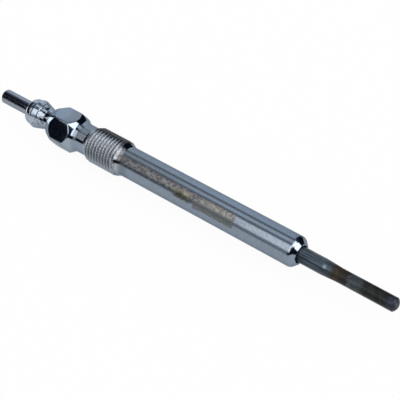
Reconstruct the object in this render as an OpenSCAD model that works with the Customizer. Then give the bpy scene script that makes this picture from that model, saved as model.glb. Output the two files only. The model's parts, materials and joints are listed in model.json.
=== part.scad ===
// Glow plug of a diesel engine, lying on its side with one flat of its hexagon down.
// X runs along the axis towards the heated tip and Z is up. The origin is on the axis,
// at the edge where the shank meets its sealing cone. Lengths are in millimetres.

/* [Contact pin] */
// Diameter of the contact pin, which is the outer end of the connection bolt
pin_d = 4; // [3.6:0.1:4.4]
// Length of the contact pin ahead of the round nut
pin_len = 10.2; // [7:0.1:14]
// Chamfer at the end of the contact pin
pin_chamfer = 0.5; // [0.2:0.1:0.8]

/* [Round nut] */
// Length of the round nut
nut_len = 8.2; // [7.8:0.1:9.2]
// Diameter of the domed front
nut_dome_d = 7.25; // [6.8:0.05:7.6]
// Diameter of the bead that a push-on connector snaps over
nut_bead_d = 8.05; // [7.8:0.05:8.6]
// Radius of the bead's rounding
nut_bead_r = 1; // [0.8:0.05:1.2]
// Distance of the bead's crest from the front
nut_bead_at = 3.1; // [2.9:0.05:3.6]
// Diameter of the collar behind the nut's taper
nut_rear_d = 6; // [5.6:0.1:6.4]
// Length of that collar
nut_collar = 1.5; // [1:0.1:2]
// Distance of the crimp groove from the front
nut_groove_at = 4.7; // [4.5:0.1:5.4]
// Width of the crimp groove
nut_groove_w = 0.3; // [0.2:0.05:0.5]
// Depth of the crimp groove
nut_groove_depth = 0.15; // [0.05:0.05:0.3]

/* [Insulation] */
// Width of the insulating washer's lip on the body's front face
washer_lip = 0.2; // [0.15:0.05:0.8]
// Thickness of that lip, which keeps the round nut off the body
washer_len = 0.45; // [0.3:0.05:1.2]
// Length of the washer's sleeve inside the body
sleeve_len = 2.4; // [1:0.1:4]
// Width of the shoulder that the sealing ring lies on, under the sleeve
ring_shoulder = 0.28; // [0.15:0.01:0.5]

/* [Hexagon] */
// Width across the flats of the hexagon
hex_af = 10; // [9.6:0.1:11]
// Length of the hexagon with its turned ends
hex_len = 10.3; // [8.5:0.1:14]
// Diameter of the hexagon's front face
hex_front_d = 8; // [7.6:0.1:9.2]
// Angle between the axis and the hexagon's turned front
hex_front_angle = 27; // [25:1:45]
// Angle between the axis and the hexagon's turned rear
hex_rear_angle = 33; // [28:1:45]

/* [Thread] */
// Outside diameter of the thread
thread_d = 9.9; // [9:0.1:11]
// Length of the thread with its chamfers
thread_len = 12.6; // [8:0.1:20]
// Length of the chamfer at each end of the thread
thread_chamfer = 1.9; // [0.5:0.1:3]
// Diameter of the neck between the hexagon and the thread
neck_d = 8.2; // [7.4:0.1:8.6]
// Length of the neck
neck_len = 3.6; // [1:0.1:6]

/* [Shank] */
// Diameter of the shank
shank_d = 8.25; // [7.6:0.05:8.8]
// Length of the shank from the thread to the sealing cone
shank_len = 54.25; // [40:0.25:80]
// Length of the sealing cone
seat_len = 1.25; // [0.8:0.05:1.35]
// Angle between the axis and the sealing cone
seat_angle = 45; // [30:1:48]
// Depth of the open ring around the glow tube, from the shank's end
relief_depth = 4; // [2:0.1:8]
// Width of the open ring around the glow tube
relief_gap = 0.35; // [0.2:0.05:0.4]
// Air gap between the shank's bore and the thicker of the bolt's rod and the glow tube
air_gap = 0.25; // [0.2:0.05:0.6]

/* [Glow tube] */
// Diameter of the glow tube where it leaves the shank
tube_d = 4.15; // [3.8:0.05:4.4]
// Diameter of the swaged front part
tip_d = 3.65; // [3.3:0.05:3.8]
// Length from the sealing cone's edge to the tip
tube_reach = 28.8; // [27:0.2:34]
// Length inside the shank, behind the sealing cone's edge
tube_inset = 19.5; // [14:0.5:26]
// Distance from the sealing cone's edge to the start of the swaged taper
taper_at = 8; // [4:0.5:12]
// Length of the swaged taper
taper_len = 4.5; // [2:0.5:7]
// Height of the domed tip
tip_rise = 0.9; // [0.5:0.05:1.5]
// Wall thickness of the glow tube
tube_wall = 0.6; // [0.45:0.05:0.65]
// Length of the tube's upper end that stands above its press fit
tube_collar = 2; // [1:0.1:3]

/* [Connection bolt] */
// Width of the step from the contact pin up to the rod, level with the round nut's front
rod_step = 0.2; // [0.1:0.05:0.3]
// Diameter of the stem inside the glow tube
stem_d = 2.1; // [1.6:0.1:2.4]
// Distance from the sealing cone's edge to the end of the stem
stem_at = 2.5; // [0:0.1:3]
// Diameter of the spigot that carries the control coil
spigot_d = 1; // [0.7:0.05:1.2]
// Length of the spigot
spigot_len = 2.5; // [1.5:0.1:3.5]

/* [Tube seal] */
// Thickness of the seal's flange on the end of the glow tube
seal_flange = 1; // [0.5:0.1:2]
// Length of the seal's plug inside the glow tube
seal_plug = 3.5; // [2:0.1:6]

/* [Coils] */
// Thickness of the coil wire
wire_d = 0.3; // [0.2:0.02:0.4]
// Turns of the control coil
control_turns = 10; // [8:1:14]
// Length of the control coil
control_len = 8.5; // [7:0.5:10]
// Turns of the heating coil
heating_turns = 15; // [10:1:20]
// Distance of the heating coil's last full turn from the tip
heating_margin = 3.2; // [2.8:0.1:4]
// Angle over which the heating coil's end leads to the tip
lead_angle = 60; // [45:5:90]

/* [Fits] */
// Clearance of pieces that slide into each other
fit_gap = 0.03; // [0.02:0.005:0.04]
// Clearance of the glow tube's press fit
press_gap = 0.01; // [0.005:0.005:0.02]

/* [Hidden] */
$fn = 96;
hex_sides = 6;
flat_turn = 180 / hex_sides;
overrun = 1;
coil_steps = 12;
lead_steps = 8;
wire_sides = 6;

// Stations along the axis
thread_end = -shank_len;
thread_start = thread_end - thread_len;
hex_rear = thread_start - neck_len;
hex_face = hex_rear - hex_len;
nut_rear = hex_face - washer_len;
nut_front = nut_rear - nut_len;
pin_end = nut_front - pin_len;
shank_end = seat_len;
tube_top = -tube_inset;
press_start = tube_top + tube_collar;
relief_start = shank_end - relief_depth;
seal_top = tube_top - seal_flange;
bolt_shoulder = seal_top - fit_gap;
seal_end = tube_top + seal_plug;
spigot_end = stem_at + spigot_len;

// Radii
pin_r = pin_d / 2;
rod_r = pin_r + rod_step;
tube_r = tube_d / 2;
tip_r = tip_d / 2;
main_bore_r = max(rod_r, tube_r) + air_gap;
counterbore_r = main_bore_r + ring_shoulder;
ring_section = counterbore_r - rod_r - 2 * fit_gap;
press_r = tube_r + press_gap;
relief_r = tube_r + relief_gap;
tube_in_r = tube_r - tube_wall;
tip_round = (pow(tip_r, 2) + pow(tip_rise, 2)) / (2 * tip_rise);
dome_r = nut_dome_d / 2 - pin_r;
bead_c = nut_bead_d / 2 - nut_bead_r;

// Stations that follow from the radii
tip_centre = tube_reach - tip_round;
ring_at = hex_face + sleeve_len + fit_gap + ring_section / 2;
counterbore_end = ring_at + ring_section / 2 + fit_gap;

// Line from the front of the nut's collar that just touches the bead
collar_at = nut_len - nut_collar;
taper_run = collar_at - nut_bead_at;
taper_rise = nut_rear_d / 2 - bead_c;
touch_angle = atan2(taper_run, taper_rise) - acos(nut_bead_r / norm([taper_run, taper_rise]));
touch_r = bead_c + nut_bead_r * cos(touch_angle);
touch_at = nut_bead_at + nut_bead_r * sin(touch_angle);
groove_r = touch_r + (nut_rear_d / 2 - touch_r) * (nut_groove_at - touch_at) / (collar_at - touch_at);

// Coils, with the path widened so that its straight steps clear the spigot
coil_r = (spigot_d + wire_d) / 2 + 2 * fit_gap;
path_r = coil_r / cos(180 / coil_steps);
control_start = stem_at + fit_gap + wire_d;
control_end = control_start + control_len;
heating_start = control_end + fit_gap;
heating_end = tube_reach - heating_margin;
lead_reach = path_r + wire_d / 2;
cap_in_r = tip_round - tube_wall;
lead_end = tip_centre + sqrt(pow(cap_in_r, 2) - pow(lead_reach, 2)) - wire_d / 2;
control_pitch = control_len / control_turns;
heating_pitch = (heating_end - heating_start) / heating_turns;
lead_len = lead_end - heating_end - heating_pitch * lead_angle / 360;
slot_in = coil_r - wire_d / 2 - fit_gap;
slot_out = path_r + wire_d / 2 + fit_gap;
slot_start = stem_at;
slot_end = heating_end + wire_d;
lead_spread = 2 * asin(wire_d / coil_r);

// Turns a shape built along Z onto the plug's axis
module axial() {
    rotate([0, 90, 0]) children();
}

// Solid of revolution from points given as radius and station
module turned(points) {
    rotate_extrude() polygon(points);
}

// Half section of the glow tube, drawn in by an equal thickness all over
module tube_section(inset, top) {
    wide_r = tube_r - inset;
    slim_r = tip_r - inset;
    cap_r = tip_round - inset;
    cap_base = tip_centre + sqrt(pow(cap_r, 2) - pow(slim_r, 2));
    polygon([[0, top], [wide_r, top], [wide_r, taper_at], [slim_r, taper_at + taper_len],
             [slim_r, cap_base], [0, cap_base]]);
    intersection() {
        translate([0, tip_centre]) circle(r = cap_r);
        translate([0, cap_base - tube_wall]) square([slim_r, cap_r]);
    }
}

// Station, angle and rise per radian along a coil, with an optional lead at its end
function coil_path(turns, start, pitch, lead) = concat(
    [for (i = [0 : turns * coil_steps])
        [360 * i / coil_steps, start + pitch * i / coil_steps, pitch / (2 * PI)]],
    lead > 0 ? [for (j = [1 : lead_steps])
        let (u = j / lead_steps, a = 360 * turns + lead_angle * u)
        [a, start + pitch * a / 360 + lead * u * u,
         pitch / (2 * PI) + 2 * lead * u * 180 / (lead_angle * PI)]] : []);

// One point on the wire's surface at a place on the path
function wire_point(place, turn) =
    let (out = [cos(place[0]), sin(place[0]), 0],
         run = [-path_r * sin(place[0]), path_r * cos(place[0]), place[2]],
         side = cross(run / norm(run), out))
    path_r * out + [0, 0, place[1]] + wire_d / 2 * (cos(turn) * out + sin(turn) * side);

// Round wire along a coil path
module wire(path) {
    last = (len(path) - 1) * wire_sides;
    polyhedron(
        points = [for (place = path) for (k = [0 : wire_sides - 1]) wire_point(place, 360 * k / wire_sides)],
        faces = concat(
            [[for (k = [wire_sides - 1 : -1 : 0]) k]],
            [[for (k = [0 : wire_sides - 1]) last + k]],
            [for (i = [0 : len(path) - 2]) for (k = [0 : wire_sides - 1])
                let (a = i * wire_sides + k, b = i * wire_sides + (k + 1) % wire_sides)
                each [[a, b, b + wire_sides], [a, b + wire_sides, a + wire_sides]]]),
        convexity = 10);
}

// Hexagon head with turned ends
module hex_head() {
    translate([0, 0, hex_face]) intersection() {
        rotate([0, 0, flat_turn]) cylinder(h = hex_len, r = hex_af / 2 / cos(flat_turn), $fn = hex_sides);
        cylinder(h = hex_len, r1 = hex_front_d / 2, r2 = hex_front_d / 2 + hex_len * tan(hex_front_angle));
        cylinder(h = hex_len, r1 = neck_d / 2 + hex_len * tan(hex_rear_angle), r2 = neck_d / 2);
    }
}

module plug_body() {
    color([0.62, 0.64, 0.67]) axial() difference() {
        union() {
            hex_head();
            turned([[0, hex_face + overrun], [neck_d / 2, hex_face + overrun], [neck_d / 2, thread_start],
                    [thread_d / 2, thread_start + thread_chamfer],
                    [thread_d / 2, thread_end - thread_chamfer],
                    [shank_d / 2, thread_end], [shank_d / 2, 0],
                    [shank_d / 2 - seat_len * tan(seat_angle), shank_end], [0, shank_end]]);
        }
        turned([[0, hex_face - overrun], [counterbore_r, hex_face - overrun],
                [counterbore_r, counterbore_end],
                [main_bore_r, counterbore_end], [main_bore_r, press_start - main_bore_r + press_r],
                [press_r, press_start], [press_r, relief_start], [relief_r, relief_start],
                [relief_r, shank_end + overrun], [0, shank_end + overrun]]);
    }
}

module connection_bolt() {
    color([0.7, 0.71, 0.73]) axial()
        turned([[0, pin_end], [pin_r - pin_chamfer, pin_end], [pin_r, pin_end + pin_chamfer],
                [pin_r, nut_front], [rod_r, nut_front], [rod_r, bolt_shoulder],
                [stem_d / 2, bolt_shoulder], [stem_d / 2, stem_at],
                [spigot_d / 2, stem_at], [spigot_d / 2, spigot_end], [0, spigot_end]]);
}

module round_nut() {
    color([0.68, 0.69, 0.71]) axial() translate([0, 0, nut_front]) rotate_extrude() difference() {
        union() {
            translate([pin_r, dome_r]) circle(r = dome_r);
            translate([bead_c, nut_bead_at]) circle(r = nut_bead_r);
            polygon([[0, dome_r], [nut_dome_d / 2, dome_r], [nut_dome_d / 2, nut_bead_at],
                     [touch_r, touch_at], [nut_rear_d / 2, collar_at], [nut_rear_d / 2, nut_len],
                     [0, nut_len]]);
        }
        translate([-nut_dome_d, -overrun]) square([nut_dome_d + rod_r + fit_gap, nut_len + 2 * overrun]);
        translate([groove_r - nut_groove_depth, nut_groove_at - nut_groove_w / 2])
            square([nut_bead_r, nut_groove_w]);
    }
}

module insulating_washer() {
    color([0.1, 0.1, 0.11]) axial()
        turned([[rod_r + fit_gap, nut_rear + fit_gap], [counterbore_r + washer_lip, nut_rear + fit_gap],
                [counterbore_r + washer_lip, hex_face - fit_gap],
                [counterbore_r - fit_gap, hex_face - fit_gap],
                [counterbore_r - fit_gap, hex_face + sleeve_len], [rod_r + fit_gap, hex_face + sleeve_len]]);
}

module body_seal_ring() {
    color([0.2, 0.13, 0.1]) axial() translate([0, 0, ring_at])
        rotate_extrude() translate([rod_r + fit_gap + ring_section / 2, 0]) circle(d = ring_section);
}

module glow_tube() {
    color([0.34, 0.37, 0.42]) axial() rotate_extrude() difference() {
        tube_section(0, tube_top);
        tube_section(tube_wall, tube_top - overrun);
    }
}

module tube_seal() {
    color([0.55, 0.2, 0.14]) axial()
        turned([[stem_d / 2 + fit_gap, seal_top], [tube_r - fit_gap, seal_top],
                [tube_r - fit_gap, tube_top - fit_gap], [tube_in_r - fit_gap, tube_top - fit_gap],
                [tube_in_r - fit_gap, seal_end], [stem_d / 2 + fit_gap, seal_end]]);
}

module insulating_filler() {
    color([0.9, 0.89, 0.85]) axial() difference() {
        rotate_extrude() tube_section(tube_wall + fit_gap, seal_end + fit_gap);
        turned([[0, tube_top], [stem_d / 2 + fit_gap, tube_top], [stem_d / 2 + fit_gap, stem_at + fit_gap],
                [spigot_d / 2 + fit_gap, stem_at + fit_gap], [spigot_d / 2 + fit_gap, spigot_end + fit_gap],
                [0, spigot_end + fit_gap]]);
        turned([[slot_in, slot_start], [slot_out, slot_start], [slot_out, slot_end], [slot_in, slot_end]]);
        rotate([0, 0, -lead_spread / 2]) rotate_extrude(angle = lead_angle + lead_spread)
            polygon([[slot_in, slot_end - wire_d], [slot_out, slot_end - wire_d],
                     [slot_out, tube_reach], [slot_in, tube_reach]]);
    }
}

module control_coil() {
    color([0.75, 0.62, 0.42]) axial() wire(coil_path(control_turns, control_start, control_pitch, 0));
}

module heating_coil() {
    color([0.78, 0.47, 0.3]) axial() wire(coil_path(heating_turns, heating_start, heating_pitch, lead_len));
}

plug_body();
connection_bolt();
round_nut();
insulating_washer();
body_seal_ring();
glow_tube();
tube_seal();
insulating_filler();
control_coil();
heating_coil();
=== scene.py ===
import json
import math

import bmesh
import bpy
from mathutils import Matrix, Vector


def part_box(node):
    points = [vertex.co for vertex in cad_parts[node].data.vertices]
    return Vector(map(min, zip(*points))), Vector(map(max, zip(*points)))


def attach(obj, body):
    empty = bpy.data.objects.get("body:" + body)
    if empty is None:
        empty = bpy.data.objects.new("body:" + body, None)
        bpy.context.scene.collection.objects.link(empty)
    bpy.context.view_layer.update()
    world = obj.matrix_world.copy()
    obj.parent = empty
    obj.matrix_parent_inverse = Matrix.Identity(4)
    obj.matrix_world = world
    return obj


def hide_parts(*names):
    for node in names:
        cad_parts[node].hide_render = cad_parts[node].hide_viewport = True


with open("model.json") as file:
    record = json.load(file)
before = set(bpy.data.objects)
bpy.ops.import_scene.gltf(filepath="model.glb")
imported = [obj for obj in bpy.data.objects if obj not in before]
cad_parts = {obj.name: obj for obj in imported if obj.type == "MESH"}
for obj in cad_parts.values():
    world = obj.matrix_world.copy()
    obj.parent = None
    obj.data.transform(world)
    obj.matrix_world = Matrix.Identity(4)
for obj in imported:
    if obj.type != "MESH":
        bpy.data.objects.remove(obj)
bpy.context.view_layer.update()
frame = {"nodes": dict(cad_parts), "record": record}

# One millimetre in metres, and the clearance of a fit in millimetres
MM = 0.001
FIT = 0.03


def ends(node):
    """Lowest and highest corner of a node, in millimetres."""
    low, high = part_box(node)
    return low / MM, high / MM


def fitted(name):
    """First station, last station and radius of a mount, in millimetres."""
    mount = next(m for m in frame["record"]["mounts"] if m["name"] == name)
    centre = mount["pos_m"][0] / MM
    half = mount["dims"]["length_mm"] / 2
    return centre - half, centre + half, mount["dims"]["r_mm"]


# Sizes that the solids give, in millimetres along the plug's axis and across it
pin_from, NUT_FRONT, PIN_R = fitted("terminal")
thread_from, thread_to, THREAD_R = fitted("thread")
THREAD_END, SEAT_EDGE, SHANK_R = fitted("shank")
bolt_low, bolt_high = ends("connection_bolt")
washer_low, washer_high = ends("insulating_washer")
body_low, body_high = ends("plug_body")
tube_low, tube_high = ends("glow_tube")
PIN_END = bolt_low.x
PIN_CHAMFER = pin_from - PIN_END
ROD_R = bolt_high.z
ROD_END = ends("tube_seal")[0].x - FIT
SPIGOT_END = bolt_high.x
NUT_REAR = ends("round_nut")[1].x
WASHER_FACE = washer_low.x
WASHER_R = washer_high.z
SLEEVE_END = washer_high.x
HEX_FACE = body_low.x
HEX_AF = 2 * body_high.z
THREAD_CHAMFER = THREAD_END - thread_to
THREAD_START = thread_from - THREAD_CHAMFER
SHANK_END = body_high.x
TUBE_TOP = tube_low.x
TUBE_R = tube_high.z
TIP = tube_high.x

# Sizes of the bolt's inner end, and its roundings
STEM_R, STEM_END, SPIGOT_R = 1.05, 2.5, 0.5
PIN_TIP_ROUND, PIN_ROUND, ROD_ROUND, STEM_ROUND = 0.15, 0.25, 0.1, 0.05

# Sizes of the round nut, with bead and groove measured from its front
DOME_R, DOME_TOP = 1.625, 3.625
BEAD_AT, BEAD_R, BEAD_CENTRE_R = 3.1, 1.0, 3.025
GROOVE_AT, GROOVE_W, GROOVE_DEPTH = 4.7, 0.3, 0.15
COLLAR_AT, COLLAR_R, COLLAR_ROUND, NUT_REAR_ROUND = -82.7, 3.0, 0.6, 0.12
# Section of the groove: share of its width and share of its depth
GROOVE_SECTION = ((-0.5, 0), (-0.3, 0.8), (0, 1), (0.3, 0.8), (0.5, 0))

# Sizes of the body's outside
HEX_FRONT_R, HEX_FRONT_ROUND, HEX_EDGE = 4.0, 1.05, 0.16
HEX_FRONT_SLOPE, HEX_REAR_SLOPE = math.tan(math.radians(27)), math.tan(math.radians(33))
HEX_REAR, HEX_SPARE = -70.45, 0.1
NECK_R, NECK_FILLET, NECK_RUN = 4.1, 3.5, 0.2
PITCH, THREAD_DEPTH, THREAD_TURNS = 1.0, 0.61, 11
THREAD_LEAD, THREAD_FADE = 0.3, 0.5
LAND_R, SEAT_ROUND = 2.875, 1.6
# Section of one turn of the thread: share of the pitch and share of the depth
THREAD_SECTION = ((0.0, 1), (0.125, 1), (0.2, 0.78), (0.28, 0.5), (0.4375, 0.02), (0.5, 0),
                  (0.5625, 0.02), (0.72, 0.5), (0.8, 0.78), (0.875, 1))

# Sizes of the body's bore, and fine roundings there and on the washer
COUNTERBORE_R, COUNTERBORE_END = 2.73, -77.82
MAIN_BORE_R, PRESS_R, RELIEF_R = 2.45, 2.085, 2.425
PRESS_START, RELIEF_START = -17.5, -2.75
MOUTH_ROUND, RIM_ROUND, SLEEVE_ROUND = 0.08, 0.06, 0.1

# Sizes of the glow tube
TAPER_AT, TAPER_END, TAPER_ROUND = 8.0, 12.5, 3.0
TIP_R, TIP_RISE, TIP_EDGE = 1.825, 0.9, 0.25
TUBE_WALL = 0.6

# Fineness of the meshes, and the plain stretch kept beside each rounding
BODY_SIDES, PIECE_SIDES = 192, 128
ROUND_STEPS, EDGE_STEPS = 5, 3
DOME_STEPS, BEAD_STEPS = 14, 16
CAP_STEPS, INNER_CAP_STEPS = 12, 6
SHARP_ANGLE = 20
HOLD = 0.35

# The hexagon's flats: how far past its rear they may reach, their least area, and how near is on one
FLAT_REACH, FLAT_AREA, NEAR = 0.5, 5.0, 1e-3


# Meshes

def rounded(corners, steps=ROUND_STEPS):
    """Profile through corners of station, radius and rounding, with an arc at each rounded corner."""
    points = []
    for i, (x, r, rounding) in enumerate(corners):
        here = Vector((x, r))
        if not rounding or i in (0, len(corners) - 1):
            points.append(here)
            continue
        back = (Vector(corners[i - 1][:2]) - here).normalized()
        ahead = (Vector(corners[i + 1][:2]) - here).normalized()
        half = back.angle(ahead) / 2
        centre = here + (back + ahead).normalized() * rounding / math.sin(half)
        start = here + back * rounding / math.tan(half) - centre
        end = here + ahead * rounding / math.tan(half) - centre
        span = start.angle_signed(end)
        hold = HOLD * min(1, rounding)
        points.append(centre + start + back * hold)
        for k in range(steps + 1):
            turn = -span * k / steps
            points.append(centre + Vector((start.x * math.cos(turn) - start.y * math.sin(turn),
                                           start.x * math.sin(turn) + start.y * math.cos(turn))))
        points.append(centre + end + ahead * hold)
    return points


def arc(x, r, radius, start, end, steps):
    """Points on a circle about station x and radius r, with angles in degrees from the axis direction."""
    angles = [math.radians(start + (end - start) * k / steps) for k in range(steps + 1)]
    return [Vector((x + radius * math.cos(a), r + radius * math.sin(a))) for a in angles]


def ring(bm, x, r, sides):
    """Circle of vertices at one station, or one vertex on the axis."""
    if r < 1e-6:
        return [bm.verts.new((x, 0, 0))]
    angles = [2 * math.pi * j / sides for j in range(sides)]
    return [bm.verts.new((x, r * math.cos(a), r * math.sin(a))) for a in angles]


def bridge(bm, one, two):
    """Faces between two neighbouring rings."""
    count = max(len(one), len(two))
    for j in range(count):
        k = (j + 1) % count
        if len(one) == 1:
            bm.faces.new((one[0], two[j], two[k]))
        elif len(two) == 1:
            bm.faces.new((one[j], two[0], one[k]))
        else:
            bm.faces.new((one[j], two[j], two[k], one[k]))


def chain(bm, rings, closed=False):
    """Faces along a row of rings."""
    for one, two in zip(rings, rings[1:] + (rings[:1] if closed else [])):
        bridge(bm, one, two)


def smooth(bm):
    for face in bm.faces:
        face.smooth = True


def piece(bm, name, node):
    """The finished mesh as an object that stands for a node and rides with the part."""
    bmesh.ops.recalc_face_normals(bm, faces=bm.faces)
    bmesh.ops.scale(bm, vec=(MM, MM, MM), verts=bm.verts)
    mesh = bpy.data.meshes.new(name)
    bm.to_mesh(mesh)
    bm.free()
    mesh.set_sharp_from_angle(angle=math.radians(SHARP_ANGLE))
    made = bpy.data.objects.new(name, mesh)
    bpy.context.scene.collection.objects.link(made)
    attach(made, "root")
    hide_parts(node)
    return made


def turned(name, node, points, closed):
    """Piece of revolution through points of station and radius."""
    bm = bmesh.new()
    chain(bm, [ring(bm, p.x, p.y, PIECE_SIDES) for p in points], closed)
    smooth(bm)
    return piece(bm, name, node)


def thread_limit(x):
    """Radius of the chamfered blank under the thread."""
    rise = (THREAD_R - NECK_R) / THREAD_CHAMFER
    fall = (THREAD_R - SHANK_R) / THREAD_CHAMFER
    return min(THREAD_R, NECK_R + (x - THREAD_START) * rise, SHANK_R + (THREAD_END - x) * fall)


def thread_rows(bm, sides):
    """Rows of vertices that follow the right-hand helix, each one turn long."""
    fade_end = THREAD_END - THREAD_CHAMFER + THREAD_FADE
    step = len(THREAD_SECTION)
    rows = []
    for k in range(THREAD_TURNS * step + 1):
        share, depth = THREAD_SECTION[k % step]
        row = []
        for j in range(sides):
            a = 2 * math.pi * j / sides
            x = THREAD_START + THREAD_LEAD + PITCH * (k // step + share + j / sides)
            fade = min(1, max(0, (fade_end - x) / PITCH))
            r = min(thread_limit(x), THREAD_R - THREAD_DEPTH * depth * fade)
            row.append(bm.verts.new((x, r * math.cos(a), r * math.sin(a))))
        rows.append(row)
    return rows


def thread(bm, sides):
    """Right-hand thread between two plain rings. Where a row's turn ends, the row one pitch on begins."""
    step = len(THREAD_SECTION)
    rows = thread_rows(bm, sides)
    for k in range(len(rows) - 1):
        for j in range(sides - 1):
            bm.faces.new((rows[k][j], rows[k + 1][j], rows[k + 1][j + 1], rows[k][j + 1]))
        if k + step + 1 < len(rows):
            bm.faces.new((rows[k][-1], rows[k + 1][-1], rows[k + step + 1][0], rows[k + step][0]))
    before = ring(bm, THREAD_START, NECK_R, sides)
    after = ring(bm, THREAD_END, SHANK_R, sides)
    for j in range(sides - 1):
        bm.faces.new((before[j], rows[0][j], rows[0][j + 1], before[j + 1]))
        bm.faces.new((rows[-1][j], after[j], after[j + 1], rows[-1][j + 1]))
    bm.faces.new([before[-1], rows[0][-1]] + [rows[k][0] for k in range(step, -1, -1)] + [before[0]])
    bm.faces.new([after[0], rows[-1][0]] + [rows[-1 - k][-1] for k in range(step, -1, -1)] + [after[-1]])
    return before, after


def cut_hexagon(bm):
    """Cuts the six flats into the turned head and softens their edges."""
    turns = [math.radians(a) for a in range(30, 390, 60)]
    normals = [Vector((0, math.cos(a), math.sin(a))) for a in turns]
    limit = HEX_REAR + FLAT_REACH
    for n in normals:
        faces = [f for f in bm.faces if all(v.co.x < limit for v in f.verts)]
        geom = list(dict.fromkeys(g for f in faces for g in (*f.verts, *f.edges, f)))
        cut = bmesh.ops.bisect_plane(bm, geom=geom, dist=1e-5, plane_co=n * HEX_AF / 2, plane_no=n,
                                     clear_outer=True)["geom_cut"]
        bmesh.ops.edgeloop_fill(bm, edges=[g for g in cut if isinstance(g, bmesh.types.BMEdge)])
    bm.normal_update()
    flats = set()
    for f in bm.faces:
        centre = f.calc_center_median()
        if centre.x < limit and any(abs(centre.dot(n) - HEX_AF / 2) < NEAR for n in normals):
            flats.add(f)
    edges = [e for e in bm.edges if any(f in flats for f in e.link_faces)]
    bmesh.ops.bevel(bm, geom=edges, offset=HEX_EDGE, offset_type="OFFSET", segments=4, profile=0.5,
                    affect="EDGES", clamp_overlap=True)
    return normals


def make_body():
    bm = bmesh.new()
    peak_r = HEX_AF / 2 / math.cos(math.radians(30)) + HEX_SPARE
    front_run = (peak_r - HEX_FRONT_R) / HEX_FRONT_SLOPE
    rear_run = (peak_r - NECK_R) / HEX_REAR_SLOPE
    head = rounded([(COUNTERBORE_END, COUNTERBORE_R, 0), (HEX_FACE, COUNTERBORE_R, MOUTH_ROUND),
                    (HEX_FACE, HEX_FRONT_R, HEX_FRONT_ROUND), (HEX_FACE + front_run, peak_r, 0),
                    (HEX_REAR - rear_run, peak_r, 0), (HEX_REAR, NECK_R, NECK_FILLET),
                    (THREAD_START - NECK_RUN, NECK_R, 0)])
    tail = rounded([(THREAD_END, SHANK_R, 0), (SEAT_EDGE, SHANK_R, SEAT_ROUND),
                    (SHANK_END, LAND_R, RIM_ROUND), (SHANK_END, RELIEF_R, RIM_ROUND),
                    (RELIEF_START, RELIEF_R, 0), (RELIEF_START, PRESS_R, 0), (PRESS_START, PRESS_R, 0),
                    (PRESS_START - MAIN_BORE_R + PRESS_R, MAIN_BORE_R, 0),
                    (COUNTERBORE_END, MAIN_BORE_R, 0)])
    head_rings = [ring(bm, p.x, p.y, BODY_SIDES) for p in head]
    before, after = thread(bm, BODY_SIDES)
    tail_rings = [ring(bm, p.x, p.y, BODY_SIDES) for p in tail[1:]]
    chain(bm, head_rings + [before])
    chain(bm, [after] + tail_rings)
    bridge(bm, tail_rings[-1], head_rings[0])
    bmesh.ops.recalc_face_normals(bm, faces=bm.faces)
    normals = cut_hexagon(bm)
    smooth(bm)
    for f in bm.faces:
        on_head = f.calc_center_median().x < HEX_REAR
        if on_head and f.calc_area() > FLAT_AREA and any(f.normal.dot(n) > 1 - 1e-4 for n in normals):
            f.smooth = False
    return piece(bm, "body_shell", "plug_body")


def make_bolt():
    outline = rounded([
        (PIN_END, 0, 0), (PIN_END, PIN_R - PIN_CHAMFER, PIN_TIP_ROUND),
        (PIN_END + PIN_CHAMFER, PIN_R, PIN_ROUND), (NUT_FRONT, PIN_R, 0), (NUT_FRONT, ROD_R, 0),
        (ROD_END, ROD_R, ROD_ROUND), (ROD_END, STEM_R, 0), (STEM_END, STEM_R, STEM_ROUND),
        (STEM_END, SPIGOT_R, 0), (SPIGOT_END, SPIGOT_R, STEM_ROUND), (SPIGOT_END, 0, 0)])
    return turned("contact_bolt", "connection_bolt", outline, False)


def make_nut():
    run, rise = COLLAR_AT - NUT_FRONT - BEAD_AT, COLLAR_R - BEAD_CENTRE_R
    touch = math.degrees(math.atan2(run, rise) - math.acos(BEAD_R / math.hypot(run, rise)))
    touch_at = BEAD_AT + BEAD_R * math.sin(math.radians(touch))
    touch_r = BEAD_CENTRE_R + BEAD_R * math.cos(math.radians(touch))
    slope = (COLLAR_R - touch_r) / (COLLAR_AT - NUT_FRONT - touch_at)
    lead = math.degrees(math.acos((DOME_TOP - BEAD_CENTRE_R) / BEAD_R))
    bore = ROD_R + FIT
    front = math.degrees(math.asin((bore - PIN_R) / DOME_R))
    dome = arc(NUT_FRONT + DOME_R, PIN_R, DOME_R, 180 - front, 90, DOME_STEPS)
    bead = arc(NUT_FRONT + BEAD_AT, BEAD_CENTRE_R, BEAD_R, 90 + lead, 90 - touch, BEAD_STEPS)
    groove = []
    for along, deep in GROOVE_SECTION:
        at = GROOVE_AT + GROOVE_W * along
        groove.append(Vector((NUT_FRONT + at, touch_r + slope * (at - touch_at) - GROOVE_DEPTH * deep)))
    rear = rounded([(*groove[-1], 0), (COLLAR_AT, COLLAR_R, COLLAR_ROUND),
                    (NUT_REAR, COLLAR_R, NUT_REAR_ROUND), (NUT_REAR, bore, 0)])[1:]
    return turned("round_nut_shell", "round_nut", dome + bead + groove + rear, True)


def make_washer():
    inner, sleeve, rear = ROD_R + FIT, COUNTERBORE_R - FIT, HEX_FACE - FIT
    outline = rounded([
        (WASHER_FACE, inner, 0), (WASHER_FACE, WASHER_R, RIM_ROUND), (rear, WASHER_R, RIM_ROUND),
        (rear, sleeve, 0), (SLEEVE_END, sleeve, SLEEVE_ROUND), (SLEEVE_END, inner, 0)])
    return turned("washer_shell", "insulating_washer", outline, True)


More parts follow.
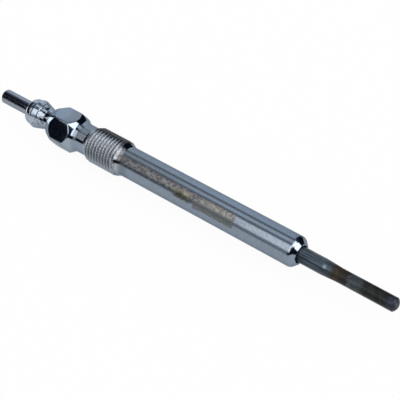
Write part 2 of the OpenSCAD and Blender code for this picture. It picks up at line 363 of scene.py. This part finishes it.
def tube_wall(inset, steps):
    """Half section of the glow tube's outside, or of its inside when it is drawn in."""
    cap_r = (TIP_R ** 2 + TIP_RISE ** 2) / (2 * TIP_RISE)
    centre = TIP - cap_r
    slim, cap = TIP_R - inset, cap_r - inset
    start = math.degrees(math.asin(slim / cap))
    side = rounded([(TUBE_TOP, TUBE_R - inset, 0), (TAPER_AT, TUBE_R - inset, TAPER_ROUND),
                    (TAPER_END, slim, TAPER_ROUND), (centre + cap * math.cos(math.radians(start)), slim, 0)])
    return side + arc(centre, 0, cap, start, 0, steps)[1:]


def make_tube():
    bm = bmesh.new()
    outside = tube_wall(0, CAP_STEPS)
    inside = tube_wall(TUBE_WALL, INNER_CAP_STEPS)
    edge = len(outside) - 1 - CAP_STEPS
    around_edge = [(*outside[edge - 1], 0), (*outside[edge], TIP_EDGE), (*outside[edge + 1], 0)]
    outside[edge:edge + 1] = rounded(around_edge, EDGE_STEPS)[1:-1]
    outer = [ring(bm, p.x, max(0, p.y), PIECE_SIDES) for p in outside]
    inner = [ring(bm, p.x, max(0, p.y), PIECE_SIDES) for p in inside]
    chain(bm, outer)
    chain(bm, inner)
    bridge(bm, outer[0], inner[0])
    smooth(bm)
    return piece(bm, "glow_tube_shell", "glow_tube")


# Materials

# Stretches of the body and of the glow tube along the axis: first place, last place and softness
SHANK_FINISH = (-54.0, 0.2, 0.3)
THREAD_FINISH = (THREAD_START + 0.4, THREAD_END - 1.4, 0.4)
# Painted shade: the run-out chamfer, darkened on its upper and front side
RUNOUT_SHADE_AT = (-57.2, -55.2, 0.25)
RUNOUT_MOTTLE = (-56.4, -55.2, 0.15)
# Painted shadow: the shank's lower side beside the thread, darkened where the thread shades it
SHANK_SHADE_AT = (-54.0, -51.5, 0.8)
# Painted highlight: the hexagon's rear cone, lighter towards its lower near side
HEX_CONE = (-73.4, -70.8, 0.5)
# Painted sheen: a lighter stretch along the top of the glow tube
TUBE_PAINTED_SHEEN_AT = (4.0, 9.0, 1.0)

# Stretches around the body, in degrees from straight up towards the near side
# Painted shade: the thread's far side, darkened in place of a dark reflection
THREAD_FAR_SHADE = (-64.0, -2.0, 13.0)
# Painted shade: the thread's underside, greyed as it turns from the light
THREAD_SHADED_UNDERSIDE = (68.0, 150.0, 10.0)
# Painted shade in the thread's roots, on the side turned to the front
THREAD_ROOT_SHADE = (34.0, 62.0, 10.0)
# Painted highlight: the bright band along the shank's front-facing side
PAINTED_BRIGHT_BAND = (31.0, 55.0, 3.0)

# Marks on the body: a stretch along the axis and one around it
# Painted highlight: a pale patch on the lower near side of the run-out chamfer
LIP_HIGHLIGHT = ((-55.9, -54.5, 0.3), (62.0, 100.0, 8.0))
FOOT = ((-55.2, -54.1, 0.15), (8.0, 60.0, 4.0))
WORN = ((-55.0, -17.0, 0.4), (29.0, 58.0, 5.0))
OLIVE = ((-36.2, -30.6, 0.9), (39.0, 72.0, 4.0))
PALE = ((-27.5, -17.6, 0.8), (28.0, 53.0, 4.0))
MATT = ((-29.6, -16.95, 0.25), (51.0, 80.0, 3.0))

# Where one look passes into the next: first and last place, along the axis, around it or out from it
UNDER_SHADE_FADES = (-56.5, -55.8)
BAND_HIGHLIGHT_STARTS = (-17.4, -16.6)
MATT_GREENS = (-27.6, -26.6)
RUNOUT_SHADE_FADES = (50.0, 66.0)
SHANK_SHADE_FADES = (58.0, 70.0)
CONE_HIGHLIGHT_RISES = (52.0, 72.0)
OLIVE_DARKENS = (48.0, 62.0)
RUB_FADES = (60.0, 73.0)
ROOT_SHADE_TO_FLANK = (4.36, 4.7)
# Painted shade on the round nut's taper, darker on the sides turned away from the front
NUT_SHADE_START = (-86.2, -85.0)
NUT_SIDE_SHADE_FADES = (36.0, 56.0)
CRIMP_ENDS = (COLLAR_AT - 1.0, COLLAR_AT)
# Painted shade on the glow tube where it leaves the body, most on the lower near side
TUBE_ROOT_SHADE_FADES = (1.5, 5.0)
TUBE_ROOT_SHADE_TURN = (30.0, 85.0)
TUBE_PAINTED_SHEEN_FADES = (-25.0, 20.0)
# Angle from which the round nut's two sides are counted; the painted shade on its sides grows away from it
NUT_FACING = 41.0

# Colours, in pairs of a darkest and a lightest one where a noise mixes them
EDGE_TINT = (0.5, 0.53, 0.565, 1.0)
NICKEL = ((0.21, 0.25, 0.305), (0.25, 0.3, 0.365))
NICKEL_GRAIN = (0.16, 0.19, 0.23)
NICKEL_SHADE = (0.09, 0.105, 0.125)
CONE_HIGHLIGHT = (0.32, 0.375, 0.44)
THREAD_BRIGHT = ((0.48, 0.51, 0.545), (0.74, 0.775, 0.815))
THREAD_SHADE_DARK = (0.02, 0.027, 0.038)
THREAD_UNDER_SHADE = (0.25, 0.28, 0.31)
ROOT_SHADE_DARK = (0.08, 0.08, 0.085)
RUNOUT_SHADE_GREY = (0.1, 0.105, 0.11)
MOTTLE_GREY = (0.1, 0.105, 0.105)
LIP_HIGHLIGHT_GREY = (0.37, 0.395, 0.42)
WORN_BROWN = ((0.078, 0.074, 0.076), (0.31, 0.298, 0.3))
FOOT_BROWN = ((0.035, 0.033, 0.031), (0.085, 0.081, 0.077))
PALE_STREAKS = ((0.178, 0.181, 0.17), (0.375, 0.378, 0.345))
OLIVE_LIGHT = ((0.15, 0.148, 0.11), (0.33, 0.325, 0.255))
OLIVE_DARK = ((0.035, 0.035, 0.022), (0.11, 0.11, 0.08))
BAND_HIGHLIGHT_GREY = (0.36, 0.39, 0.4)
MATT_MAUVE = (0.14, 0.132, 0.155)
MATT_GREEN = ((0.095, 0.105, 0.095), (0.135, 0.145, 0.13))
MATT_RUBBED = (0.21, 0.222, 0.228)
PIN_NICKEL = ((0.235, 0.265, 0.31), (0.29, 0.32, 0.365))
NUT_NICKEL = ((0.24, 0.288, 0.35), (0.5, 0.56, 0.64))
NUT_SIDE_SHADE = (0.1, 0.125, 0.16)
NUT_DARK = (0.05, 0.07, 0.085)
MOULDED_BLACK = ((0.004, 0.004, 0.005), (0.012, 0.012, 0.013))
TUBE_STREAKS = ((0.005, 0.01, 0.017), (0.08, 0.11, 0.14))
TUBE_ROOT_SHADE = (0.004, 0.008, 0.013)
TUBE_PAINTED_SHEEN = (0.14, 0.175, 0.21)

# Heat tints along the glow tube: where each fades in, and its darkest and lightest colour
TINTS = ((9.4, 11.6, (0.016, 0.016, 0.014), (0.042, 0.03, 0.02)),
         (13.8, 14.8, (0.012, 0.011, 0.015), (0.021, 0.018, 0.022)),
         (15.0, 16.2, (0.033, 0.042, 0.046), (0.052, 0.064, 0.07)),
         (18.2, 20.0, (0.009, 0.011, 0.011), (0.021, 0.023, 0.023)),
         (25.4, 26.6, (0.019, 0.024, 0.037), (0.033, 0.04, 0.056)))
# Painted glints on the glow tube, on the taper and at the tip: place, reach, share and colour
TUBE_GLINTS = (((8.8, -1.36, 1.56), 0.75, 0.7, (0.3, 0.33, 0.35)),
         ((28.5, -0.5, 0.75), 0.9, 0.6, (0.12, 0.115, 0.14)))
# Hidden pieces: node, material, darkest and lightest colour, grain scale, metal share and roughness
INNER = (("body_seal_ring", "ring_rubber", (0.07, 0.045, 0.035), (0.12, 0.08, 0.065), 3.0, 0.0, 0.75),
         ("tube_seal", "seal_rubber", (0.08, 0.05, 0.04), (0.13, 0.085, 0.07), 2.5, 0.0, 0.75),
         ("insulating_filler", "packed_powder", (0.8, 0.79, 0.75), (0.9, 0.89, 0.86), 4.0, 0.0, 0.9),
         ("control_coil", "control_wire", (0.52, 0.43, 0.3), (0.65, 0.55, 0.4), 3.0, 1.0, 0.35),
         ("heating_coil", "heating_wire", (0.45, 0.3, 0.2), (0.6, 0.42, 0.3), 3.0, 1.0, 0.4))


class Shader:
    """Node tree of one material, with positions read in millimetres of the part's own frame."""

    def __init__(self, name):
        self.material = bpy.data.materials.new(name)
        self.material.use_nodes = True
        self.nodes, self.links = self.material.node_tree.nodes, self.material.node_tree.links
        self.shader = self.nodes["Principled BSDF"]
        place = self.nodes.new("ShaderNodeTexCoord").outputs["Object"]
        scaled = self.node("ShaderNodeVectorMath", {0: place, "Scale": 1 / MM}, operation="SCALE")
        self.place = scaled.outputs[0]
        self.x, self.y, self.z = self.node("ShaderNodeSeparateXYZ", {0: self.place}).outputs

    def feed(self, socket, value):
        """Links another socket, or sets a plain value."""
        if isinstance(value, bpy.types.NodeSocket):
            self.links.new(value, socket)
        else:
            socket.default_value = value

    def node(self, kind, inputs, **settings):
        made = self.nodes.new(kind)
        for key, value in settings.items():
            setattr(made, key, value)
        for key, value in inputs.items():
            self.feed(made.inputs[key], value)
        return made

    def math(self, operation, one, two=0.0):
        return self.node("ShaderNodeMath", {0: one, 1: two}, operation=operation).outputs[0]

    def product(self, share, *others):
        for other in others:
            share = self.math("MULTIPLY", share, other)
        return share

    def total(self, value, *others):
        for other in others:
            value = self.math("ADD", value, other)
        return value

    def stretch(self, x, y, z):
        made = self.node("ShaderNodeVectorMath", {0: self.place, 1: (x, y, z)}, operation="MULTIPLY")
        return made.outputs[0]

    def noise(self, vector, scale, detail=3.0, roughness=0.55):
        inputs = {"Vector": vector, "Scale": scale, "Detail": detail, "Roughness": roughness}
        return self.node("ShaderNodeTexNoise", inputs).outputs["Fac"]

    def strayed(self, value, noise, reach):
        """A place that a noise moves to both sides, for a ragged edge."""
        return self.total(value, self.product(self.math("SUBTRACT", noise, 0.5), reach))

    def ramp(self, value, low, high, first=0.0, last=1.0):
        span = {"Value": value, "From Min": low, "From Max": high, "To Min": first, "To Max": last}
        return self.node("ShaderNodeMapRange", span, interpolation_type="SMOOTHSTEP").outputs["Result"]

    def window(self, value, low, high, soft):
        """One between low and high, and nothing outside, with soft ends."""
        return self.product(self.ramp(value, low - soft, low + soft),
                            self.ramp(value, high - soft, high + soft, first=1.0, last=0.0))

    def patch(self, along, around, mark):
        """One inside a mark, and nothing outside, with soft edges."""
        return self.product(self.window(along, *mark[0]), self.window(around, *mark[1]))

    def mix(self, factor, one, two):
        made = self.node("ShaderNodeMix", {"Factor": factor}, data_type="RGBA")
        for socket, value in ((made.inputs[6], one), (made.inputs[7], two)):
            self.feed(socket, value if isinstance(value, bpy.types.NodeSocket) else (*value, 1.0))
        return made.outputs[2]

    def over(self, colour, tint, *shares):
        """The colour with a tint laid over it, by the product of the shares."""
        return self.mix(self.product(*shares), colour, tint)

    def bump(self, height, strength, depth):
        made = self.node("ShaderNodeBump", {"Height": height, "Strength": strength, "Distance": depth * MM})
        self.links.new(made.outputs["Normal"], self.shader.inputs["Normal"])

    def set(self, **values):
        for key, value in values.items():
            self.feed(self.shader.inputs[key.replace("_", " ")], value)

    def turn(self):
        """Angle about the axis in degrees, from straight up towards the near side."""
        return self.math("DEGREES", self.math("ARCTAN2", self.product(self.y, -1.0), self.z))

    def radius(self):
        return self.math("SQRT", self.total(self.product(self.y, self.y), self.product(self.z, self.z)))


def thread_colour(s, colour, turn, thread, grain):
    """Bright flanks, with painted shade in the roots, on the far side, on the underside, on the run-out and
    on the shank beside the thread, and a painted highlight on the lip.
    """
    flanks = s.mix(s.ramp(grain, 0.4, 0.62), *THREAD_BRIGHT)
    root_shade = s.ramp(s.radius(), *ROOT_SHADE_TO_FLANK, first=1.0, last=0.0)
    colour = s.over(colour, flanks, thread, 0.8)
    # Painted shade darkens the thread's far side
    colour = s.over(colour, THREAD_SHADE_DARK, thread, s.window(turn, *THREAD_FAR_SHADE), 0.85)
    # Painted shade greys the thread's underside, weaker on the run-out
    colour = s.over(colour, THREAD_UNDER_SHADE, thread, s.window(turn, *THREAD_SHADED_UNDERSIDE),
                    s.ramp(s.x, *UNDER_SHADE_FADES, first=0.85, last=0.2))
    # Painted shade darkens the run-out chamfer on its upper and front side
    colour = s.over(colour, RUNOUT_SHADE_GREY, s.window(s.x, *RUNOUT_SHADE_AT),
                    s.ramp(turn, *RUNOUT_SHADE_FADES, first=0.45, last=0.0))
    # Painted highlight on the lower near side of the run-out chamfer
    colour = s.over(colour, LIP_HIGHLIGHT_GREY, s.patch(s.x, turn, LIP_HIGHLIGHT), 0.7)
    # Painted shadow on the shank's lower side beside the thread
    colour = s.over(colour, NICKEL_SHADE, s.window(s.x, *SHANK_SHADE_AT), s.ramp(turn, *SHANK_SHADE_FADES, last=0.35))
    # Painted shade darkens the thread's roots on the side turned to the front
    return s.over(colour, ROOT_SHADE_DARK, thread, root_shade, s.window(turn, *THREAD_ROOT_SHADE), 0.35)


def stain_and_highlight_colour(s, colour, turn, cloud):
    """Stains, a painted highlight band and the matt patch of the shank, and a share that says where the
    shank is stained.
    """
    ragged = s.strayed(turn, s.noise(s.place, 0.9, detail=4, roughness=0.7), 24.0)
    frayed = s.strayed(s.x, s.noise(s.place, 0.7, detail=4, roughness=0.7), 5.0)
    blotch = s.ramp(s.noise(s.stretch(0.8, 1.0, 1.0), 1.6, detail=4, roughness=0.7), 0.4, 0.62)
    streaks = s.ramp(s.noise(s.stretch(2.0, 0.9, 0.9), 1.25, detail=3, roughness=0.6), 0.46, 0.6)
    worn = s.patch(s.x, ragged, WORN)
    olive = s.patch(frayed, ragged, OLIVE)
    matt = s.patch(s.x, ragged, MATT)
    olive_tint = s.mix(s.ramp(ragged, *OLIVE_DARKENS),
                       s.mix(blotch, *OLIVE_LIGHT), s.mix(blotch, *OLIVE_DARK))
    matt_tint = s.mix(s.ramp(s.x, *MATT_GREENS), MATT_MAUVE, s.mix(cloud, *MATT_GREEN))
    colour = s.over(colour, s.mix(blotch, *WORN_BROWN), worn, 0.75)
    colour = s.over(colour, s.mix(blotch, *FOOT_BROWN), s.patch(s.x, ragged, FOOT), 0.85)
    colour = s.over(colour, MOTTLE_GREY, s.window(s.x, *RUNOUT_MOTTLE),
                    s.ramp(blotch, 0.0, 1.0, first=0.7, last=0.0))
    colour = s.over(colour, s.mix(streaks, *PALE_STREAKS), s.patch(frayed, ragged, PALE), 0.75)
    colour = s.over(colour, olive_tint, olive, 0.85)
    # Painted highlight: a lighter band along the shank's front-facing side
    colour = s.over(colour, BAND_HIGHLIGHT_GREY, s.ramp(s.x, *BAND_HIGHLIGHT_STARTS), s.window(turn, *PAINTED_BRIGHT_BAND),
                    s.ramp(blotch, 0.2, 0.9, last=0.3))
    colour = s.over(colour, matt_tint, matt, 0.85)
    colour = s.over(colour, MATT_RUBBED, matt, s.ramp(ragged, *RUB_FADES, first=0.75, last=0.0))
    return colour, s.math("MAXIMUM", s.math("MAXIMUM", worn, olive), matt)


def body_material():
    s = Shader("satin_nickel")
    turn = s.turn()
    cloud = s.noise(s.place, 0.35, detail=4)
    grain = s.noise(s.place, 3.2, detail=5, roughness=0.7)
    specks = s.ramp(s.noise(s.place, 1.9, detail=3, roughness=0.7), 0.42, 0.64, last=0.45)
    lathe_lines = s.noise(s.stretch(7.0, 0.15, 0.15), 1.0, detail=3, roughness=0.6)
    shank = s.window(s.x, *SHANK_FINISH)
    thread = s.window(s.x, *THREAD_FINISH)
    colour = s.over(s.mix(cloud, *NICKEL), NICKEL_GRAIN, shank, specks)
    colour = thread_colour(s, colour, turn, thread, grain)
    # Painted highlight lightens the hexagon's rear cone towards its lower near side
    colour = s.over(colour, CONE_HIGHLIGHT, s.window(s.x, *HEX_CONE), s.ramp(turn, *CONE_HIGHLIGHT_RISES, last=0.7))
    colour, stained = stain_and_highlight_colour(s, colour, turn, cloud)
    rough = s.total(s.product(shank, 0.08), s.ramp(grain, 0.3, 0.7, first=0.08, last=0.14),
                    s.product(stained, 0.12), s.product(thread, 0.26))
    lines = s.product(lathe_lines, s.total(0.15, s.product(shank, 0.6)))
    s.set(Base_Color=colour, Metallic=1.0, Roughness=rough, Specular_Tint=EDGE_TINT)
    s.bump(s.total(lines, s.product(grain, s.total(0.15, stained))), strength=0.35, depth=0.02)
    return s.material


def pin_material():
    s = Shader("bright_nickel")
    lines = s.noise(s.stretch(9.0, 0.2, 0.2), 1.0, detail=3)
    cloud = s.noise(s.place, 0.8, detail=3)
    s.set(Base_Color=s.mix(cloud, *PIN_NICKEL), Metallic=1.0, Specular_Tint=EDGE_TINT,
          Roughness=s.ramp(lines, 0.3, 0.7, first=0.1, last=0.14))
    s.bump(lines, strength=0.03, depth=0.01)
    return s.material


def nut_material():
    s = Shader("crimped_nickel")
    dents = s.noise(s.place, 0.6, detail=1, roughness=0.4)
    cloud = s.noise(s.place, 1.4, detail=4, roughness=0.65)
    spots = s.ramp(s.noise(s.place, 0.9, detail=2, roughness=0.5), 0.54, 0.62, last=0.65)
    crimped = s.ramp(s.x, *CRIMP_ENDS, first=1.0, last=0.05)
    aside = s.math("ABSOLUTE", s.math("SUBTRACT", s.turn(), NUT_FACING))
    colour = s.mix(cloud, *NUT_NICKEL)
    # Painted shade darkens the nut's taper on the sides turned away from the front
    colour = s.over(colour, NUT_SIDE_SHADE, s.ramp(s.x, *NUT_SHADE_START),
                    s.ramp(aside, *NUT_SIDE_SHADE_FADES, last=0.4))
    colour = s.over(colour, NUT_DARK, spots)
    rough = s.total(0.03, s.product(crimped, s.ramp(cloud, 0.35, 0.65, first=0.05, last=0.12)))
    s.set(Base_Color=colour, Metallic=1.0, Specular_Tint=EDGE_TINT, Roughness=rough)
    s.bump(s.product(crimped, s.total(dents, s.product(cloud, 0.1))), strength=0.7, depth=0.2)
    return s.material


def plastic_material():
    s = Shader("moulded_black")
    grain = s.noise(s.place, 5.0, detail=4)
    s.set(Base_Color=s.mix(grain, *MOULDED_BLACK), Specular_IOR_Level=0.25,
          Roughness=s.ramp(grain, 0.3, 0.7, first=0.3, last=0.42))
    s.bump(grain, strength=0.2, depth=0.02)
    return s.material


def tube_material():
    s = Shader("heat_tinted_alloy")
    turn = s.turn()
    streak = s.noise(s.stretch(0.1, 2.4, 2.4), 1.0, detail=5, roughness=0.65)
    cloud = s.noise(s.place, 0.55, detail=4, roughness=0.6)
    along = s.strayed(s.x, cloud, 3.0)
    colour = s.mix(s.ramp(streak, 0.3, 0.7), *TUBE_STREAKS)
    # Painted shade darkens the glow tube where it leaves the body
    colour = s.over(colour, TUBE_ROOT_SHADE, s.ramp(s.x, *TUBE_ROOT_SHADE_FADES, first=0.75, last=0.0),
                    s.ramp(turn, *TUBE_ROOT_SHADE_TURN))
    # Painted sheen lightens the top of the glow tube over this stretch
    colour = s.over(colour, TUBE_PAINTED_SHEEN, s.window(s.x, *TUBE_PAINTED_SHEEN_AT),
                    s.ramp(turn, *TUBE_PAINTED_SHEEN_FADES, first=0.45, last=0.0))
    for start, end, low, high in TINTS:
        colour = s.over(colour, s.mix(s.ramp(cloud, 0.35, 0.65), low, high), s.ramp(along, start, end))
    # Painted glints: pale spots on the taper and at the tip
    for place, reach, share, tint in TUBE_GLINTS:
        away = s.node("ShaderNodeVectorMath", {0: s.place, 1: place}, operation="DISTANCE").outputs["Value"]
        colour = s.over(colour, tint, s.ramp(away, 0.1, reach, first=share, last=0.0))
    s.set(Base_Color=colour, Metallic=0.4, Specular_IOR_Level=0.18,
          Roughness=s.ramp(streak, 0.3, 0.7, first=0.32, last=0.46))
    s.bump(streak, strength=0.3, depth=0.03)
    return s.material


def inner_material(name, low, high, scale, metallic, roughness):
    s = Shader(name)
    grain = s.noise(s.place, scale, detail=4)
    s.set(Base_Color=s.mix(grain, low, high), Metallic=metallic,
          Roughness=s.ramp(grain, 0.3, 0.7, first=roughness - 0.08, last=roughness + 0.08))
    s.bump(grain, strength=0.2, depth=0.02)
    return s.material


def dress(made, material):
    made.data.materials.clear()
    made.data.materials.append(material)


# Studio

# Sizes of the studio, and how far its panels stand from the axis, in millimetres
STUDIO, GROUND, FLAG_LIFT = 900, -5, 0.1
PANEL_REACH, NECK_REACH, FADE_REACH, LOW_REACH, CEILING_REACH = 350, 345, 360, 380, 430
FLOOR_HALF, FLOOR_GAP = 3000, 0.02

# Stations where panels begin or meet, and their angles in degrees from straight up towards the near side
DIM_START, NECK_MEETS, SWEEP_MEETS, DIM_END, BOX_END, KEY_START = -306, -300.5, -300, -225, -100, -5
SWEEP, OVERHEAD, TOP = (-92, -36), (-36, 22), (-18, 4)
FRONT, FRONT_LOW = (22, 68), (68, 88)
THREAD_TOP, TOP_LAMP = (-36, 20), (-22, 22)
PIN_FADE, PIN_FADE_LOW = (-36, -20), (-20, 0)

# Colours of the studio, and how white the floor shows
NIGHT, SKY, COLD, COOL = (0.36, 0.55, 1.0), (0.92, 1.02, 1.12), (0.92, 1.0, 1.12), (0.92, 1.0, 1.1)
PALE_BLUE, HAZE, WHITE = (0.95, 1.0, 1.06), (0.98, 1.0, 1.02), (1, 1, 1)
CREAM, IVORY, WARM = (1.0, 1.0, 0.97), (1.0, 1.0, 0.93), (1.0, 0.92, 0.88)
FLOOR_GREY, FLOOR_ROUGH, FLOOR_WHITE = (0.9, 0.9, 0.9, 1.0), 0.9, 0.95

# Camera: angles in degrees, aim, distance, lens and sensor in millimetres, and clips in metres
CAMERA_TURN, CAMERA_RISE, CAMERA_AIM, CAMERA_DISTANCE = 38.94, 41.67, -30.18, 326.2
LENS, SENSOR = 116.25, 36.0
CLIP_START, CLIP_END = 0.01, 20.0


def strip(turns, x0, x1, reach=PANEL_REACH):
    """Corners of a panel along the axis, between two angles."""
    sides = [(-reach * math.sin(math.radians(a)), reach * math.cos(math.radians(a))) for a in turns]
    return [(x0, *sides[0]), (x1, *sides[0]), (x1, *sides[1]), (x0, *sides[1])]


def upright(x, y0, y1, z0, z1):
    """Corners of a panel that faces along the axis."""
    return [(x, y0, z0), (x, y1, z0), (x, y1, z1), (x, y0, z1)]


def beside(y):
    """Corners of the studio's wall at one side of the axis."""
    return [(-STUDIO, y, GROUND), (STUDIO, y, GROUND), (STUDIO, y, STUDIO), (-STUDIO, y, STUDIO)]


def level(x0, x1, y0, y1, z):
    """Corners of a level panel."""
    return [(x0, y0, z), (x1, y0, z), (x1, y1, z), (x0, y1, z)]


# Panels: name, corners, colour and strength
PANELS = (
    ("studio_front", beside(-STUDIO), NIGHT, 0.02),
    ("studio_back", beside(STUDIO), NIGHT, 0.02),
    ("studio_left", upright(-STUDIO, -STUDIO, STUDIO, GROUND, STUDIO), NIGHT, 0.02),
    ("studio_right", upright(STUDIO, -STUDIO, STUDIO, GROUND, STUDIO), NIGHT, 0.02),
    ("studio_top", level(-STUDIO, STUDIO, -STUDIO, STUDIO, STUDIO), NIGHT, 0.02),
    ("sweep_left", strip(SWEEP, -700, SWEEP_MEETS), SKY, 1.05),
    ("sweep_mid", strip(SWEEP, SWEEP_MEETS, DIM_END), HAZE, 0.88),
    ("sweep_right", strip(SWEEP, DIM_END, -120), COOL, 1.02),
    ("ceiling", strip(OVERHEAD, DIM_START, BOX_END, CEILING_REACH), COOL, 0.3),
    ("top_strip_dim", strip(TOP, DIM_START, DIM_END), WHITE, 0.72),
    ("top_strip", strip(TOP, DIM_END, -20), PALE_BLUE, 1.08),
    ("front_low_dim", strip(FRONT_LOW, -262, DIM_END, LOW_REACH), COOL, 0.27),
    ("front_low", strip(FRONT_LOW, DIM_END, BOX_END, LOW_REACH), COOL, 0.48),
    ("front_dim", strip(FRONT, DIM_START, -188), WARM, 0.67),
    ("neck_front", strip(FRONT, -308, NECK_MEETS, NECK_REACH), CREAM, 1.5),
    ("neck_dim", strip(FRONT, NECK_MEETS, -286, NECK_REACH), IVORY, 1.05),
    ("thread_top", strip(THREAD_TOP, -295, -271, NECK_REACH), PALE_BLUE, 0.78),
    ("front_box", strip(FRONT, -187, BOX_END), WHITE, 1.75),
    ("front_mid", strip(FRONT, BOX_END, KEY_START), WHITE, 1.9),
    ("front_key", strip(FRONT, KEY_START, 72), WHITE, 3.4),
    ("top_lamp", strip(TOP_LAMP, 5, 300), WHITE, 4.0),
    ("right_lamp", upright(350, -50, 240, 120, 410), WHITE, 4.5),
    ("right_low", upright(420, -80, 340, GROUND, 130), WHITE, 0.9),
    ("left_sweep", upright(-880, 170, 880, GROUND, 220), COLD, 0.85),
    ("left_lamp", upright(-870, -140, 60, GROUND, 85), WHITE, 4.0),
    ("left_floor", level(-870, -135, -60, 0, GROUND), WHITE, 3.5),
    ("left_floor_near", level(-870, -170, -110, -60, GROUND), WHITE, 3.5),
    ("pin_flag", level(-165, -115, -75, -22, GROUND + FLAG_LIFT), COLD, 0.3),
    ("pin_fade", strip(PIN_FADE, -420, -300, FADE_REACH), COLD, 0.4),
    ("pin_fade_low", strip(PIN_FADE_LOW, -420, -325, FADE_REACH), COLD, 0.12))


def staged(name, corners):
    """Flat sheet of the studio, from corners in millimetres, and the node tree of its own material."""
    mesh = bpy.data.meshes.new(name)
    mesh.from_pydata([tuple(c * MM for c in corner) for corner in corners], [], [[0, 1, 2, 3]])
    made = bpy.data.objects.new(name, mesh)
    bpy.context.scene.collection.objects.link(made)
    material = bpy.data.materials.new(name)
    material.use_nodes = True
    mesh.materials.append(material)
    return made, material.node_tree


def make_panel(name, corners, colour, strength):
    """Glowing panel that only reflections show."""
    made, tree = staged(name, corners)
    tree.nodes.remove(tree.nodes["Principled BSDF"])
    glow = tree.nodes.new("ShaderNodeEmission")
    glow.inputs["Color"].default_value = (*colour, 1.0)
    glow.inputs["Strength"].default_value = strength
    tree.links.new(glow.outputs[0], tree.nodes["Material Output"].inputs["Surface"])
    made.visible_camera = made.visible_diffuse = made.visible_shadow = False
    made.visible_transmission = made.visible_volume_scatter = False


def joined(tree, operation, *sources):
    """Result of a math node that takes its sources in turn."""
    made = tree.nodes.new("ShaderNodeMath")
    made.operation = operation
    for socket, source in zip(made.inputs, sources):
        if isinstance(source, bpy.types.NodeSocket):
            tree.links.new(source, socket)
        else:
            socket.default_value = source
    return made.outputs[0]


def make_floor():
    """Pale floor that takes the shadow, and shows mostly plain white by itself and in reflections."""
    corners = level(-FLOOR_HALF, FLOOR_HALF, -FLOOR_HALF, FLOOR_HALF, -HEX_AF / 2 - FLOOR_GAP)
    tree = staged("floor", corners)[1]
    paint = tree.nodes["Principled BSDF"]
    paint.inputs["Base Color"].default_value = FLOOR_GREY
    paint.inputs["Roughness"].default_value = FLOOR_ROUGH
    paint.inputs["Specular IOR Level"].default_value = 0.0
    white = tree.nodes.new("ShaderNodeEmission")
    path = tree.nodes.new("ShaderNodeLightPath").outputs
    shown = joined(tree, "MAXIMUM", path["Is Camera Ray"], path["Is Glossy Ray"])
    shown = joined(tree, "MAXIMUM", shown, path["Is Transmission Ray"])
    mix = tree.nodes.new("ShaderNodeMixShader")
    sources = (joined(tree, "MULTIPLY", shown, FLOOR_WHITE), paint.outputs[0], white.outputs[0])
    for socket, source in zip(mix.inputs, sources):
        tree.links.new(source, socket)
    tree.links.new(mix.outputs[0], tree.nodes["Material Output"].inputs["Surface"])


def make_world():
    world = bpy.data.worlds.new("studio")
    world.use_nodes = True
    bpy.context.scene.world = world
    back = world.node_tree.nodes["Background"]
    back.inputs["Color"].default_value = (*WHITE, 1)
    back.inputs["Strength"].default_value = 1.0


def make_camera():
    azimuth, elevation = math.radians(CAMERA_TURN), math.radians(CAMERA_RISE)
    back = Vector((math.sin(azimuth) * math.cos(elevation), -math.cos(azimuth) * math.cos(elevation),
                   math.sin(elevation)))
    data = bpy.data.cameras.new("camera")
    data.lens, data.sensor_width = LENS, SENSOR
    data.clip_start, data.clip_end = CLIP_START, CLIP_END
    made = bpy.data.objects.new("camera", data)
    made.location = (Vector((CAMERA_AIM, 0, 0)) + back * CAMERA_DISTANCE) * MM
    made.rotation_euler = back.to_track_quat("Z", "Y").to_euler()
    bpy.context.scene.collection.objects.link(made)
    bpy.context.scene.camera = made


dress(make_body(), body_material())
dress(make_bolt(), pin_material())
dress(make_nut(), nut_material())
dress(make_washer(), plastic_material())
dress(make_tube(), tube_material())
for node, *finish in INNER:
    dress(frame["nodes"][node], inner_material(*finish))
for panel in PANELS:
    make_panel(*panel)
make_floor()
make_world()
make_camera()
bpy.context.scene.view_settings.view_transform = "Standard"
